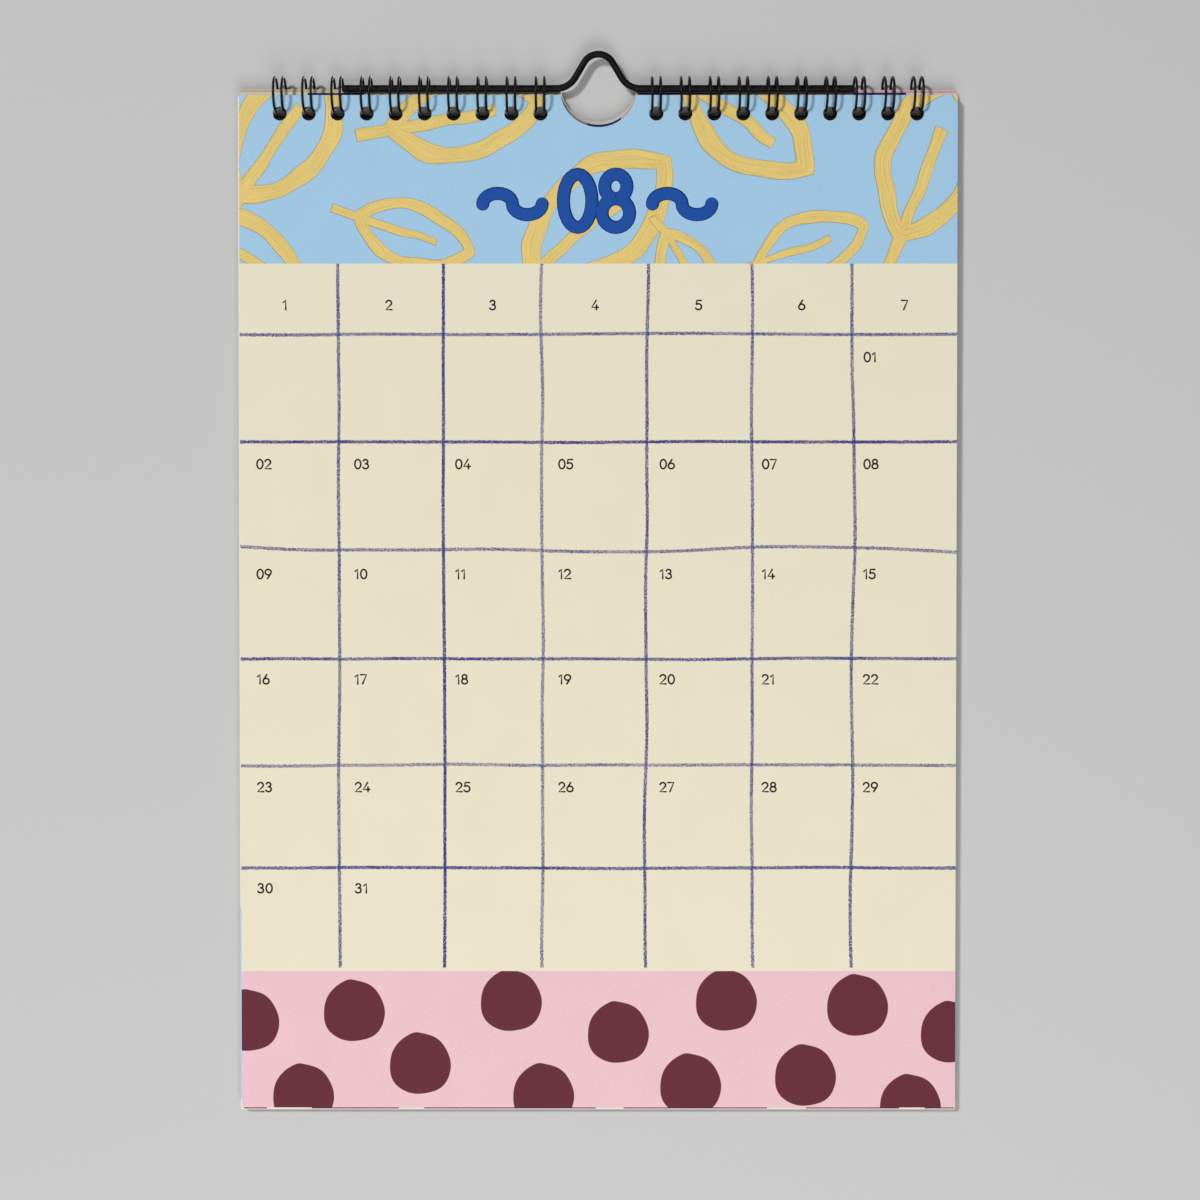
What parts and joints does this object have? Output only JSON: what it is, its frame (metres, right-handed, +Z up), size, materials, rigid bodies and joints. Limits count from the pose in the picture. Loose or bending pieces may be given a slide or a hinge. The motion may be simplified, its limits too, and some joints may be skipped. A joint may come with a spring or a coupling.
{
  "type": "wall calendar",
  "caption": "Wall calendar of punched sheets on twin wire loops, hung from a bent wire hanger; its front sheet turns up and over the loops.",
  "frame": {"origin": "inner top of the hanger's arch, where the nail bears", "axes": "+Z up, +X to the right and +Y to the wall, seen from the front; the printed side faces -Y"},
  "size_m": [0.2109, 0.0101, 0.3109],
  "materials": {
    "hanger_wire": "black coated steel wire, satin",
    "loop_wire": "black nylon-coated steel wire, satin",
    "front_paper": "uncoated printed paper, matt",
    "later_paper": "uncoated printed paper, matt",
    "board": "stiff card, matt",
    "turned_paper": "uncoated printed paper, matt"
  },
  "bodies": {
    "hanger": {"hanger": "hanger_wire"},
    "binding": {"wire_binding_left": "loop_wire", "wire_binding_right": "loop_wire", "later_sheets": "later_paper", "back_board": "board", "turned_sheets": "turned_paper"},
    "front_sheet": {"front_sheet": "front_paper"}
  },
  "joints": [
    {"name": "swing_on_hanger", "type": "hinge", "parent": "hanger", "child": "binding", "pos_m": [0, 0, -0.009], "axis": [-1, 0, 0], "range_deg": [0, 180]},
    {"name": "turn_front_sheet", "type": "hinge", "parent": "binding", "child": "front_sheet", "pos_m": [0, -0.00124, -0.01081], "axis": [-1, 0, 0], "range_deg": [0, 180]}
  ]
}
